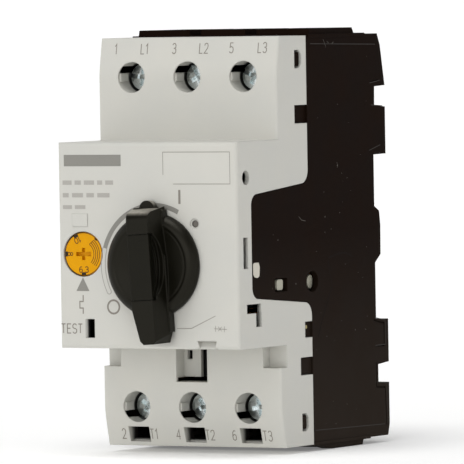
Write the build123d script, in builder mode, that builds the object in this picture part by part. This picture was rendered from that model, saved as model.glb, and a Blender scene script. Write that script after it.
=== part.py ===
from build123d import *
import os
from math import sin, cos, radians

# ---------------------------------------------------------------------------
# Three-pole motor protection breaker for a 35 mm top-hat rail, millimetres.
# +Z up, +Y towards the rail, -Y towards the operator.
# Origin: on the rail's centre line, in the plane the rail flanges bear on.
# ---------------------------------------------------------------------------

# driving dimensions: envelope
WIDTH = 45.0
HALF_W = WIDTH / 2
HEIGHT = 90.0                 # cover and side walls, without the end funnels
HALF_H = HEIGHT / 2
FUNNEL_H = 1.5                # wire funnels stand this far past each end wall
Y_REAR = 5.7                  # rearmost plane
Y_SEAT = 0.0                  # rail seat
Y_BLOCK = -62.3               # front of the operating block
Y_TERM = -44.0                # front of the terminal faces
BLOCK_HALF = 22.5             # operating block is 45 mm high
TERM_KINK = 37.5              # the terminal faces slope back above this height
Y_TERM_END = -42.6            # terminal face at the outer end
WALL = 1.5
BASE_WALL = 1.4
SEAM = 0.12                   # gap between the two shells
PITCH = 14.1                  # pole pitch
POLES = (-PITCH, 0.0, PITCH)
LINE_TAGS = ("l1", "l2", "l3")
LOAD_TAGS = ("t1", "t2", "t3")

# shells' parting line on the side: rear line of the upper and lower part, front of the tongue
SEAM_UP = -30.5
SEAM_LOW = -29.6
SEAM_FRONT = -56.2

# rail
RAIL_HALF = 17.5
SEAT_TOP = 18.0
SEAT_LOW = -18.7

# terminals
SCREW_Z = 36.3
HOLE_R = 3.4
TUBE_R = 4.6
TUBE_END = -36.4
HEAD_R = 3.2
HEAD_FRONT = -38.9
HEAD_REAR = -36.2
SHANK_R = 1.95
SHANK_TIP = -27.05
CAGE_HALF_X = 4.0
CAGE_HALF_Z = 3.9
BAR_FRONT = -26.9
BAR_REAR = -25.3

# handle
KNOB_X = 1.65
KNOB_Z = -4.2
KNOB_R = 11.4
KNOB_LEAN = 3.4               # resting lean of the grip, degrees
Y_KNOB = -69.5                # front of the grip
Y_DISC = -64.7                # front of the disc
SHAFT_R = 3.5
SHAFT_END = -32.2

# setting dial
DIAL_X = -16.4
DIAL_Z = -1.9
DIAL_R = 4.75

os.makedirs("parts", exist_ok=True)


# helper shapes given by their limits, used inside a part block
def slab(x0, x1, y0, y1, z0, z1, mode=Mode.ADD):
    with Locations(((x0 + x1) / 2, (y0 + y1) / 2, (z0 + z1) / 2)):
        Box(x1 - x0, y1 - y0, z1 - z0, mode=mode)


def rod_y(x, z, y0, y1, r, mode=Mode.ADD):
    with Locations((x, (y0 + y1) / 2, z)):
        Cylinder(r, y1 - y0, rotation=(90, 0, 0), mode=mode)


def rod_x(y, z, x0, x1, r, mode=Mode.ADD):
    with Locations(((x0 + x1) / 2, y, z)):
        Cylinder(r, x1 - x0, rotation=(0, 90, 0), mode=mode)


def rod_z(x, y, z0, z1, r, mode=Mode.ADD):
    with Locations((x, y, (z0 + z1) / 2)):
        Cylinder(r, z1 - z0, mode=mode)


# ---------------------------------------------------------------------------
# base housing
# ---------------------------------------------------------------------------
seam_top_z = 12.73
seam_tip_top_z = 10.62
seam_tip_low_z = -11.55
seam_low_z = -13.62

base_outline = [
    (SEAM_UP, HALF_H), (SEAM_UP, seam_top_z), (SEAM_FRONT, seam_tip_top_z),
    (SEAM_FRONT, seam_tip_low_z), (SEAM_LOW, seam_low_z), (SEAM_LOW, -HALF_H),
    (Y_REAR, -HALF_H), (Y_REAR, -33.1), (0.7, -32.9), (0.7, -28.9), (Y_REAR, -28.5),
    (Y_REAR, SEAT_LOW - 0.2), (Y_SEAT, SEAT_LOW), (Y_SEAT, -6.1), (2.6, -4.3), (2.7, 2.2),
    (2.2, 5.4), (Y_SEAT, 6.5), (Y_SEAT, SEAT_TOP), (Y_REAR, SEAT_TOP + 0.1), (Y_REAR, 28.6),
    (0.7, 29.0), (0.8, 33.2), (Y_REAR, 33.4), (3.2, HALF_H),
]

with BuildPart() as base_housing:
    with BuildSketch(Plane.YZ.offset(-HALF_W)) as side_outline:
        with BuildLine():
            Polyline(*base_outline, close=True)
        make_face()
        seam_corners = side_outline.vertices().filter_by(
            lambda v: abs(abs(v.Y) - 13.175) < 0.6 and v.X > -31)
        fillet(seam_corners, 3.0)
        tip_corners = side_outline.vertices().filter_by(lambda v: v.X < -56)
        fillet(tip_corners, 2.5)
    extrude(amount=WIDTH)
    # interior of the shell
    slab(-HALF_W + BASE_WALL, HALF_W - BASE_WALL, -70, -1.8, -43.5, 43.5, Mode.SUBTRACT)
    # coring of the rear blocks that carry the rail
    slab(-20.5, 20.5, -2.0, 4.0, 20.0, 26.9, Mode.SUBTRACT)
    slab(-20.5, 20.5, -2.0, 3.2, 35.0, 43.0, Mode.SUBTRACT)
    # shallow slope of the side walls towards both ends
    for s in (-1, 1):
        for e in (-1, 1):
            with BuildSketch(Plane.XZ.offset(60)) as bevel:
                with BuildLine():
                    Polyline((s * HALF_W, e * 42.4), (s * (HALF_W + 1), e * 42.4),
                             (s * (HALF_W + 1), e * (HALF_H + 0.2)), (s * (HALF_W - 0.45), e * (HALF_H + 0.2)),
                             close=True)
                make_face()
            extrude(amount=-70, mode=Mode.SUBTRACT)
    # wire funnels on both ends, one block per pole
    for x0, x1 in ((-21.5, -8.5), (-5.6, 5.6), (8.5, 21.5)):
        with BuildSketch(Plane.YZ.offset(x0)) as funnel_top:
            with BuildLine():
                Polyline((-27.9, HALF_H - 0.6), (-27.3, HALF_H + FUNNEL_H), (-7.5, HALF_H + FUNNEL_H),
                         (-6.0, HALF_H - 0.6), close=True)
            make_face()
        extrude(amount=x1 - x0)
        with BuildSketch(Plane.YZ.offset(x0)) as funnel_low:
            with BuildLine():
                Polyline((-29.2, -HALF_H + 0.3), (-19.8, -HALF_H - FUNNEL_H), (-5.4, -HALF_H - FUNNEL_H),
                         (-4.6, -HALF_H + 0.3), close=True)
            make_face()
        extrude(amount=x1 - x0)
    # thin end plates between the funnels
    slab(-22.3, 22.3, -29.0, -3.0, HALF_H - 0.5, HALF_H + 0.25)
    slab(-22.3, 22.3, -29.0, -3.0, -HALF_H - 0.25, -HALF_H + 0.5)
    # wire entries through the end walls
    for px in POLES:
        for e in (-1, 1):
            slab(px - 4.4, px + 4.4, -25.4, -16.8, min(e * 42, e * 48), max(e * 42, e * 48), Mode.SUBTRACT)
            slab(px - 4.9, px + 4.9, -25.9, -16.2, min(e * 45.9, e * 48), max(e * 45.9, e * 48), Mode.SUBTRACT)
    # pole partitions
    for px in (-PITCH / 2, PITCH / 2):
        slab(px - 0.6, px + 0.6, -30.0, -1.7, 29.9, 43.6)
        slab(px - 0.6, px + 0.6, -29.0, -1.7, -43.6, -29.9)
        slab(px - 0.6, px + 0.6, -18.5, -1.7, -30.0, 30.0)
    # cross walls between the terminal chambers and the contact chambers
    slab(-21.2, 21.2, -26.0, -6.5, 28.8, 29.9)
    slab(-21.2, 21.2, -18.9, -1.7, -31.4, -30.1)
    # floor ribs under the fixed conductors
    for px in POLES:
        slab(px - 2.6, px + 2.6, -5.0, -1.7, 19.2, 29.6)
        slab(px - 2.2, px + 2.2, -5.0, -1.7, -19.4, 11.4)
    slab(-20.5, 20.5, -2.4, -1.7, 18.6, 19.6)
    # hook lip behind the upper rail flange
    with BuildSketch(Plane.YZ.offset(-19.5)) as rail_hook:
        with BuildLine():
            Polyline((1.25, SEAT_TOP + 0.3), (1.25, 16.5), (2.6, 16.5), (4.6, SEAT_TOP + 0.3), close=True)
        make_face()
    extrude(amount=39)
    # channel of the rail latch: wide inside, narrow at the rear face
    slab(-8.2, 8.2, 1.0, 4.4, -48.0, -18.0, Mode.SUBTRACT)
    slab(-6.6, 6.6, 1.0, 7.0, -48.0, -18.0, Mode.SUBTRACT)
    slab(-2.2, 2.2, 0.5, 4.2, -39.9, -38.4)
    # side windows: signal slide and contact carrier
    for s in (-1, 1):
        slab(min(s * 20, s * 24), max(s * 20, s * 24), -46.2, -40.7, -10.7, -7.8, Mode.SUBTRACT)
        with BuildSketch(Plane.YZ.offset(20 if s > 0 else -24)) as carrier_window:
            with Locations((-29.3, -9.1)):
                Ellipse(2.65, 2.3)
        extrude(amount=4, mode=Mode.SUBTRACT)
    # tabs that fill the cover's notches, and snap arms behind its slots
    for s in (-1, 1):
        for y0, y1, z0, z1 in ((-35.9, -29.9, 25.95, 29.65), (-34.8, -29.0, -29.35, -25.75),
                               (-32.6, -29.0, -21.15, -17.95)):
            slab(min(s * 20.9, s * 22.05), max(s * 20.9, s * 22.05), y0, y1, z0, z1)
        for y0, y1, z0, z1 in ((-36.8, -29.9, 37.2, 42.4), (-35.7, -29.0, -42.4, -37.2)):
            slab(min(s * 19.5, s * 20.85), max(s * 19.5, s * 20.85), y0, y1, z0, z1)
            slab(min(s * 19.5, s * 21.3), max(s * 19.5, s * 21.3), y1 - 0.4, y1 + 1.6, z0, z1)
        slab(min(s * 20.7, s * 22.1), max(s * 20.7, s * 22.1), -35.4, -33.2, 38.4, 41.4)
        slab(min(s * 20.7, s * 22.1), max(s * 20.7, s * 22.1), -34.3, -32.3, -41.3, -38.4)
    # fine grooves that set off the rims of the rear blocks
    for s in (-1, 1):
        for path in ([(-1.2, -18.9), (1.4, -19.5), (3.7, -19.8), (3.6, -24.8), (0.0, -24.7)],
                     [(-0.3, -28.4), (-0.3, -33.9), (3.8, -34.2), (4.3, -42.6)],
                     [(-1.1, 34.2), (2.9, 34.5)]):
            with BuildSketch(Plane.YZ.offset(HALF_W - 0.35 if s > 0 else -HALF_W - 0.65)) as rim_groove:
                with BuildLine():
                    Polyline(*path)
                trace(line_width=0.35)
            extrude(amount=1.0, mode=Mode.SUBTRACT)
base_housing.part.label = "base_housing"
export_step(base_housing.part, "parts/base_housing.step")

# ---------------------------------------------------------------------------
# front cover
# ---------------------------------------------------------------------------
cover_outline = [
    (Y_BLOCK, BLOCK_HALF), (Y_TERM, BLOCK_HALF), (Y_TERM, TERM_KINK), (Y_TERM_END, HALF_H),
    (SEAM_UP - SEAM, HALF_H), (SEAM_UP - SEAM, seam_top_z + SEAM), (SEAM_FRONT - SEAM, seam_tip_top_z + SEAM),
    (SEAM_FRONT - SEAM, seam_tip_low_z - SEAM), (SEAM_LOW - SEAM, seam_low_z - SEAM), (SEAM_LOW - SEAM, -HALF_H),
    (Y_TERM_END + 0.4, -HALF_H), (Y_TERM, -TERM_KINK), (Y_TERM, -BLOCK_HALF), (Y_BLOCK, -BLOCK_HALF),
]
cover_cavity = [
    (Y_BLOCK + WALL, BLOCK_HALF - WALL), (Y_TERM + WALL, BLOCK_HALF - WALL), (Y_TERM + WALL, TERM_KINK - 0.1),
    (Y_TERM_END + 1.3, HALF_H - WALL), (-20, HALF_H - WALL), (-20, -HALF_H + WALL),
    (Y_TERM_END + 1.7, -HALF_H + WALL), (Y_TERM + WALL, -TERM_KINK + 0.1), (Y_TERM + WALL, -BLOCK_HALF + WALL),
    (Y_BLOCK + WALL, -BLOCK_HALF + WALL),
]

with BuildPart() as front_cover:
    with BuildSketch(Plane.YZ.offset(-HALF_W)) as cover_side:
        with BuildLine():
            Polyline(*cover_outline, close=True)
        make_face()
        fillet(cover_side.vertices().filter_by(lambda v: abs(abs(v.Y) - 13.3) < 0.6 and v.X > -31), 3.0)
        fillet(cover_side.vertices().filter_by(lambda v: abs(v.X - SEAM_FRONT + SEAM) < 0.01), 2.5)
        fillet(cover_side.vertices().filter_by(
            lambda v: abs(v.X - Y_TERM) < 0.01 and abs(abs(v.Y) - TERM_KINK) < 0.01), 18.0)
    extrude(amount=WIDTH)
    front_edges = front_cover.edges().filter_by(lambda e: abs(e.center().Y - Y_BLOCK) < 0.01)
    fillet(front_edges, 0.8)
    ledge_edges = front_cover.edges().filter_by(
        lambda e: abs(e.center().Y - Y_TERM) < 0.01 and abs(abs(e.center().X) - HALF_W) < 0.01)
    fillet(ledge_edges, 0.6)
    with BuildSketch(Plane.YZ.offset(-HALF_W + WALL)) as cavity_side:
        with BuildLine():
            Polyline(*cover_cavity, close=True)
        make_face()
    extrude(amount=WIDTH - 2 * WALL, mode=Mode.SUBTRACT)
    # screwdriver tubes
    for px in POLES:
        for e in (-1, 1):
            rod_y(px, e * SCREW_Z, Y_TERM + 0.9, TUBE_END, TUBE_R)
    for px in POLES:
        for e in (-1, 1):
            rod_y(px, e * SCREW_Z, Y_TERM - 2, TUBE_END + 1, HOLE_R, Mode.SUBTRACT)
            slab(px - 5.2, px - 2.3, Y_TERM + 0.5, TUBE_END + 1,
                 min(e * (SCREW_Z + 0.98), e * (SCREW_Z + 2.5)), max(e * (SCREW_Z + 0.98), e * (SCREW_Z + 2.5)),
                 Mode.SUBTRACT)
    # test probe windows below the lower screwdriver holes, each with a guide wall on its left
    for px in POLES:
        slab(px - 3.6, px - 2.7, -42.1, -39.0, -43.8, -40.45)
        with BuildSketch(Plane.XZ.offset(46)) as probe_window:
            with BuildLine():
                Polyline((px - 2.7, -40.75), (px + 2.55, -40.75), (px + 2.6, -44.05), (px - 2.55, -44.05), close=True)
            make_face()
        extrude(amount=-5.4, mode=Mode.SUBTRACT)
    # pocket in the middle of the lower terminal face
    slab(-5.3, 5.3, Y_TERM + 1.0, -37.0, -32.0, -21.2)
    slab(-3.9, 3.9, Y_TERM - 1, -38.3, -30.7, -22.5, Mode.SUBTRACT)
    slab(-3.95, 0.35, -40.4, -39.2, -29.75, -22.4)
    slab(-3.0, -1.8, -41, -36.5, -25.85, -23.9, Mode.SUBTRACT)
    slab(0.35, 3.9, -39, -36.5, -30.7, -22.6, Mode.SUBTRACT)
    slab(-3.9, 3.9, -39, -36.5, -30.7, -29.75, Mode.SUBTRACT)
    slab(-6.5, 3.9, Y_TERM + 0.7, -36.5, -30.7, -29.8, Mode.SUBTRACT)
    # corner notches beside the block on the lower terminal face
    for s in (-1, 1):
        slab(min(s * 16.5, s * 21.1), max(s * 16.5, s * 21.1), Y_TERM + 1.3, -39.9, -28.9, -21.1)
        slab(min(s * 18.0, s * 23), max(s * 18.0, s * 23), Y_TERM - 0.5, -41.25, -27.4, -22.5, Mode.SUBTRACT)
    # thumb notch in the lower front edge of the block
    slab(11.2, 17.6, Y_BLOCK + 1.2, Y_BLOCK + 3.4, -21.3, -19.6)
    with BuildSketch(Plane.XZ.offset(-Y_BLOCK + 1)) as thumb_top:
        with BuildLine():
            Polyline((12.0, -20.7), (16.8, -20.7), (16.1, -22.7), (12.7, -22.7), close=True)
        make_face()
    extrude(amount=-2.4, mode=Mode.SUBTRACT)
    with BuildSketch(Plane.YZ.offset(11.9)) as thumb_ramp:
        with BuildLine():
            Polyline((Y_BLOCK + 0.15, -22.48), (Y_BLOCK + 1.5, -20.75), (Y_BLOCK + 1.5, -22.48), close=True)
        make_face()
    extrude(amount=5.0)
    # shaft hole, dial hole, test slot
    rod_y(KNOB_X, KNOB_Z, Y_BLOCK - 1, Y_BLOCK + 3, SHAFT_R + 0.6, Mode.SUBTRACT)
    rod_y(DIAL_X, DIAL_Z, Y_BLOCK - 1, Y_BLOCK + 3, DIAL_R + 0.2, Mode.SUBTRACT)
    slab(-15.6, -13.75, Y_BLOCK - 1, Y_BLOCK + 3, -20.2, -16.1, Mode.SUBTRACT)
    with BuildSketch(Plane.XY.offset(-20.2)) as test_bevel:
        with BuildLine():
            Polyline((-16.15, Y_BLOCK - 0.1), (-15.5, Y_BLOCK - 0.1), (-15.5, Y_BLOCK + 1.0), close=True)
        make_face()
    extrude(amount=4.1, mode=Mode.SUBTRACT)
    # moulded lug and round dimple on the front
    slab(-19.0, -15.1, Y_BLOCK - 0.14, Y_BLOCK + 0.5, 4.15, 6.9)
    rod_y(11.74, 4.73, Y_BLOCK - 0.5, Y_BLOCK + 0.3, 1.15, Mode.SUBTRACT)
    rod_y(11.74, 4.73, Y_BLOCK - 0.5, Y_BLOCK + 2.0, 0.8, Mode.SUBTRACT)
    # side openings, mirrored on the far side
    for s in (-1, 1):
        xa, xb = (20.0, 24.0) if s > 0 else (-24.0, -20.0)
        slab(xa, xb, -36.2, SEAM_UP + 0.5, 25.8, 29.8, Mode.SUBTRACT)
        slab(xa, xb, -35.1, SEAM_LOW + 0.5, -29.5, -25.6, Mode.SUBTRACT)
        slab(xa, xb, -32.9, SEAM_LOW + 0.5, -21.3, -17.8, Mode.SUBTRACT)
        slab(xa, xb, -60.0, -58.0, -5.1, 1.65, Mode.SUBTRACT)
        slab(xa, xb, -58.8, -52.6, -14.9, -12.9, Mode.SUBTRACT)
        slab(xa, xb, -54.8, -52.4, -17.9, -14.8, Mode.SUBTRACT)
        slab(min(s * 20.5, s * 21.9), max(s * 20.5, s * 21.9), -59.6, -51.6, -18.6, -12.2, Mode.SUBTRACT)
        slab(min(s * 20.5, s * 21.9), max(s * 20.5, s * 21.9), -60.7, -57.2, -5.9, 2.4, Mode.SUBTRACT)
        rod_x(-58.5, 14.6, min(s * 20.5, s * 21.5), max(s * 20.5, s * 21.5), 2.3, Mode.SUBTRACT)
        with BuildSketch(Plane.YZ.offset(xa)) as snap_slots:
            with BuildLine():
                Polyline((-35.9, 37.9), (-33.8, 37.9), (-32.8, 38.9), (-32.8, 40.9), (-33.8, 41.9), (-35.9, 41.9),
                         close=True)
            make_face()
            with BuildLine():
                Polyline((-34.8, -37.9), (-32.9, -37.9), (-31.9, -38.9), (-31.9, -40.8), (-32.9, -41.8),
                         (-34.8, -41.8), close=True)
            make_face()
            with Locations((-58.5, 14.6)):
                Circle(1.55)
        extrude(amount=4, mode=Mode.SUBTRACT)
front_cover.part.label = "front_cover"
export_step(front_cover.part, "parts/front_cover.step")

# ---------------------------------------------------------------------------
# rotary handle: disc, pointer nose, grip with finger scoops, pocket for the locking insert
# ---------------------------------------------------------------------------
lean = radians(KNOB_LEAN)


def knob_plane(y):
    """Plane square to the handle's axis at height y, its x along the grip's width, its y along the grip."""
    return Plane(origin=(KNOB_X, y, KNOB_Z), x_dir=(cos(lean), 0, sin(lean)), z_dir=(0, -1, 0))


grip_front = [(-2.35, 11.4), (2.95, 11.4), (2.95, -16.6), (2.5, -17.1), (0.0, -17.1), (-0.8, -16.3), (-2.35, -9.4)]
grip_rear = [(-3.6, 12.6), (4.2, 12.6), (4.2, -14.8), (3.4, -17.0), (-0.4, -17.0), (-1.7, -15.6), (-3.6, -8.6)]

with BuildPart() as handle_knob:
    # bevelled disc
    with BuildSketch(Plane(origin=(KNOB_X, 0, KNOB_Z), x_dir=(1, 0, 0), z_dir=(0, 0, 1))) as disc_half:
        with BuildLine():
            l1 = Polyline((0, -62.6), (KNOB_R, -62.6), (KNOB_R, -63.1))
            l2 = ThreePointArc((KNOB_R, -63.1), (KNOB_R - 0.65, -64.25), (KNOB_R - 2.1, Y_DISC - 0.2))
            l3 = Polyline((KNOB_R - 2.1, Y_DISC - 0.2), (KNOB_R - 2.6, Y_DISC), (0, Y_DISC), (0, -62.6))
        make_face()
    revolve(axis=Axis((KNOB_X, 0, KNOB_Z), (0, 1, 0)), revolution_arc=360)
    # shallow dish in the disc
    with Locations((KNOB_X, Y_DISC - 47.0 + 0.75, KNOB_Z)):
        Sphere(47.0, mode=Mode.SUBTRACT)
    # grip, wider at the disc than at its front
    with BuildSketch(knob_plane(Y_DISC + 0.95)) as grip_foot:
        with BuildLine():
            Polyline(*grip_rear, close=True)
        make_face()
    with BuildSketch(knob_plane(Y_KNOB)) as grip_top:
        with BuildLine():
            Polyline(*grip_front, close=True)
        make_face()
    loft()
    # rounded top edge of the grip
    fillet(handle_knob.edges().filter_by(lambda e: abs(e.center().Y - Y_KNOB) < 0.01 and e.center().Z > KNOB_Z + 11.0), 2.0)
    # lower part of the tail, shorter than the grip above it
    with BuildSketch(knob_plane(-62.75)) as tail_foot:
        with BuildLine():
            Polyline((-3.2, 2), (4.2, 2), (4.2, -14.7), (-0.9, -14.7), (-3.2, -8.8), close=True)
        make_face()
    extrude(amount=2.2)
    # pointer nose
    with BuildSketch(knob_plane(-62.75)) as nose:
        with Locations((0, 10.8)):
            Rectangle(3.7, 2.9)
        with Locations((0, 12.25)):
            Circle(1.85)
    extrude(amount=1.5)
    # head of the grip, carried down beside the nose
    with BuildSketch(knob_plane(-62.75)) as head_foot:
        with BuildLine():
            Polyline((-3.6, 9.0), (-3.6, 11.9), (-2.8, 12.6), (3.3, 12.6), (4.2, 11.7), (4.2, 9.0), close=True)
        make_face()
    extrude(amount=2.2)
    # finger scoops in both flanks, an outer step and a deeper inner step
    for s, reach in ((1, 0.0), (-1, 0.6)):
        flank = Plane(origin=(KNOB_X, 0, KNOB_Z), x_dir=(0, s, 0), z_dir=(s * cos(lean), 0, s * sin(lean)))
        for depth, ry, rz in ((2.75, 4.2, 7.0), (2.25, 3.2, 5.7)):
            with BuildSketch(flank.offset(depth - reach)) as scoop:
                with Locations((s * (Y_KNOB + 0.1), 0)):
                    Ellipse(ry, rz)
            extrude(amount=4.0, mode=Mode.SUBTRACT)
    # pocket and channel for the locking insert
    with BuildSketch(knob_plane(Y_KNOB - 0.5)) as insert_pocket:
        with Locations((0.3, -0.3)):
            Rectangle(5.8, 14.4)
    extrude(amount=-2.0, mode=Mode.SUBTRACT)
    with BuildSketch(knob_plane(Y_KNOB - 0.5)) as insert_channel:
        with Locations((0.3, -0.3)):
            Rectangle(2.5, 11.2)
    extrude(amount=-6.1, mode=Mode.SUBTRACT)
    # socket for the shaft
    with BuildSketch(knob_plane(-62.6)) as socket:
        Circle(2.6)
    extrude(amount=0.5, mode=Mode.SUBTRACT)
handle_knob.part.label = "handle_knob"
export_step(handle_knob.part, "parts/handle_knob.step")

with BuildPart() as handle_lock_insert:
    with BuildSketch(knob_plane(Y_KNOB + 1.45)) as insert_cap:
        with Locations((0.3, -0.3)):
            Rectangle(5.3, 14.2)
    extrude(amount=1.45)
    with BuildSketch(knob_plane(Y_KNOB + 5.4)) as insert_tongue:
        with Locations((0.3, -0.3)):
            Rectangle(2.2, 10.9)
    extrude(amount=4.0)
    rod_x(Y_KNOB + 3.5, KNOB_Z - 0.3, KNOB_X - 5, KNOB_X + 5, 1.6, Mode.SUBTRACT)
handle_lock_insert.part.label = "handle_lock_insert"
export_step(handle_lock_insert.part, "parts/handle_lock_insert.step")

with BuildPart() as handle_shaft:
    rod_y(KNOB_X, KNOB_Z, -63.05, -61.0, 2.5)
    rod_y(KNOB_X, KNOB_Z, -61.2, -37.0, SHAFT_R)
    rod_y(KNOB_X, KNOB_Z, -37.2, SHAFT_END, 5.2)
    # end cam lobes
    slab(KNOB_X - 5.6, KNOB_X - 2.0, -35.0, SHAFT_END - 0.4, KNOB_Z - 1.2, KNOB_Z + 1.2, Mode.SUBTRACT)
    slab(KNOB_X + 2.0, KNOB_X + 5.6, -35.0, SHAFT_END + 0.4, KNOB_Z - 1.2, KNOB_Z + 1.2, Mode.SUBTRACT)
handle_shaft.part.label = "handle_shaft"
export_step(handle_shaft.part, "parts/handle_shaft.step")

# ---------------------------------------------------------------------------
# overload setting dial and its spindle
# ---------------------------------------------------------------------------
with BuildPart() as setting_dial:
    rod_y(DIAL_X, DIAL_Z, Y_BLOCK + 0.25, Y_BLOCK + 2.4, DIAL_R)
    chamfer(setting_dial.edges().filter_by(lambda e: abs(e.center().Y - Y_BLOCK - 0.25) < 0.01), 0.15)
    # cross slot: one long slot and a short cross stroke
    slab(DIAL_X - 1.9, DIAL_X + 1.9, Y_BLOCK - 1, Y_BLOCK + 1.15, DIAL_Z - 0.45, DIAL_Z + 0.45, Mode.SUBTRACT)
    slab(DIAL_X - 0.4, DIAL_X + 0.4, Y_BLOCK - 1, Y_BLOCK + 1.15, DIAL_Z - 1.3, DIAL_Z + 1.3, Mode.SUBTRACT)
    rod_y(DIAL_X, DIAL_Z, Y_BLOCK + 2.2, Y_BLOCK + 3.4, 2.6)
setting_dial.part.label = "setting_dial"
export_step(setting_dial.part, "parts/setting_dial.step")

with BuildPart() as dial_spindle:
    rod_y(DIAL_X, DIAL_Z, Y_BLOCK + 3.4, -46.0, 1.6)
    rod_y(DIAL_X + 0.9, DIAL_Z, -49.5, -46.5, 2.9)
dial_spindle.part.label = "dial_spindle"
export_step(dial_spindle.part, "parts/dial_spindle.step")

# ---------------------------------------------------------------------------
# test lever behind the test slot, signal slide across the block
# ---------------------------------------------------------------------------
with BuildPart() as test_lever:
    slab(-17.0, -12.3, -59.0, -57.4, -20.6, -15.5)
    slab(-15.5, -13.8, -57.5, -46.0, -19.0, -16.8)
    slab(-15.5, -10.5, -48.0, -46.0, -19.0, -16.8)
test_lever.part.label = "test_lever"
export_step(test_lever.part, "parts/test_lever.step")

with BuildPart() as signal_slide:
    slab(-20.9, 20.9, -45.2, -41.9, -10.3, -8.2)
    fillet(signal_slide.edges().filter_by(Axis.Z), 0.5)
    for s in (-1, 1):
        with BuildSketch(Plane.YZ.offset(s * 20.0)) as slide_end:
            with Locations((-42.8, -9.25)):
                RectangleRounded(2.8, 2.3, 0.6)
        extrude(amount=s * 1.8)
signal_slide.part.label = "signal_slide"
export_step(signal_slide.part, "parts/signal_slide.step")

# ---------------------------------------------------------------------------
# mechanism frame of folded sheet, its two pins and the levers on them
# ---------------------------------------------------------------------------
PIN_Y = -40.0
PIN_UP_Z = 4.5
PIN_LOW_Z = -12.3
PIN_R = 1.0

with BuildPart() as mechanism_frame:
    slab(-9.5, 13.0, -58.0, -56.8, -14.5, 7.5)
    slab(-9.5, -8.3, -58.0, -35.5, -14.5, 7.5)
    slab(11.8, 13.0, -58.0, -35.5, -14.5, 7.5)
    rod_y(KNOB_X, KNOB_Z, -60, -55, SHAFT_R + 0.05, Mode.SUBTRACT)
    slab(-12, 16, -47.9, -41.2, -10.9, -7.7, Mode.SUBTRACT)
    for z in (PIN_UP_Z, PIN_LOW_Z):
        rod_x(PIN_Y, z, -12, 16, PIN_R + 0.02, Mode.SUBTRACT)
mechanism_frame.part.label = "mechanism_frame"
export_step(mechanism_frame.part, "parts/mechanism_frame.step")

with BuildPart() as mechanism_pins:
    for z in (PIN_UP_Z, PIN_LOW_Z):
        rod_x(PIN_Y, z, -10.2, 13.7, PIN_R)
mechanism_pins.part.label = "mechanism_pins"
export_step(mechanism_pins.part, "parts/mechanism_pins.step")

with BuildPart() as latch_lever:
    rod_x(PIN_Y, PIN_UP_Z, 6.3, 9.3, 2.2)
    slab(6.8, 8.4, -41.0, -38.2, -7.2, PIN_UP_Z)
    slab(6.8, 8.4, -38.6, -36.2, -7.2, -5.6)
    rod_x(PIN_Y, PIN_UP_Z, 5, 11, PIN_R + 0.05, Mode.SUBTRACT)
latch_lever.part.label = "latch_lever"
export_step(latch_lever.part, "parts/latch_lever.step")

with BuildPart() as kick_lever:
    rod_x(PIN_Y, PIN_LOW_Z, -7.4, -4.6, 2.0)
    slab(-6.8, -5.2, -40.0, -31.5, -13.4, -11.2)
    rod_x(PIN_Y, PIN_LOW_Z, -9, -3, PIN_R + 0.05, Mode.SUBTRACT)
kick_lever.part.label = "kick_lever"
export_step(kick_lever.part, "parts/kick_lever.step")

# ---------------------------------------------------------------------------
# contact carrier, bridges, tips and bridge springs
# ---------------------------------------------------------------------------
with BuildPart() as contact_carrier:
    slab(-20.3, 20.3, -26.0, -21.1, 13.2, 18.4)
    for px in POLES:
        slab(px - 3.4, px + 3.4, -21.2, -6.6, 13.2, 18.4)
        slab(px - 2.45, px + 2.45, -13.6, -7.5, 12.0, 19.5, Mode.SUBTRACT)
    slab(-1.0, 4.3, -28.5, -26.0, -8.0, 18.4)
    for s in (-1, 1):
        slab(min(s * 18.7, s * 20.3), max(s * 18.7, s * 20.3), -30.6, -25.9, 13.2, 18.4)
        slab(min(s * 18.7, s * 20.3), max(s * 18.7, s * 20.3), -30.6, -27.4, -10.9, 13.3)
        slab(min(s * 18.7, s * 20.3), max(s * 18.7, s * 20.3), -29.0, -26.0, -10.9, -7.6)
        rod_x(-27.45, -9.2, min(s * 20.2, s * 20.95), max(s * 20.2, s * 20.95), 1.45)
contact_carrier.part.label = "contact_carrier"
export_step(contact_carrier.part, "parts/contact_carrier.step")

TIP_LOW_Z = 9.5
TIP_UP_Z = 22.5

with BuildPart() as contact_bridges:
    for px in POLES:
        slab(px - 2.2, px + 2.2, -8.9, -7.72, 7.9, 24.1)
contact_bridges.part.label = "contact_bridges"
export_step(contact_bridges.part, "parts/contact_bridges.step")

with BuildPart() as bridge_tips:
    for px in POLES:
        for z in (TIP_LOW_Z, TIP_UP_Z):
            slab(px - 1.7, px + 1.7, -7.72, -7.05, z - 1.4, z + 1.4)
bridge_tips.part.label = "bridge_tips"
export_step(bridge_tips.part, "parts/bridge_tips.step")

with BuildPart() as bridge_springs:
    for px in POLES:
        for k in range(5):
            with BuildSketch(Plane(origin=(px, -13.45 + 0.98 * k, 15.8), x_dir=(1, 0, 0), z_dir=(0, 1, 0))):
                Circle(1.8)
                Circle(1.2, mode=Mode.SUBTRACT)
            extrude(amount=0.55)
        slab(px + 1.25, px + 1.75, -13.4, -9.1, 15.6, 16.0)
bridge_springs.part.label = "bridge_springs"
export_step(bridge_springs.part, "parts/bridge_springs.step")

# ---------------------------------------------------------------------------
# fixed conductors
# ---------------------------------------------------------------------------
with BuildPart() as line_bars:
    for px in POLES:
        slab(px - 2.8, px + 2.8, BAR_FRONT, BAR_REAR, 30.0, 43.2)
        slab(px - 2.4, px + 2.4, BAR_FRONT, -5.0, 29.95, 31.4)
        slab(px - 2.4, px + 2.4, -6.2, -5.0, 19.2, 31.4)
line_bars.part.label = "line_bars"
export_step(line_bars.part, "parts/line_bars.step")

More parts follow.
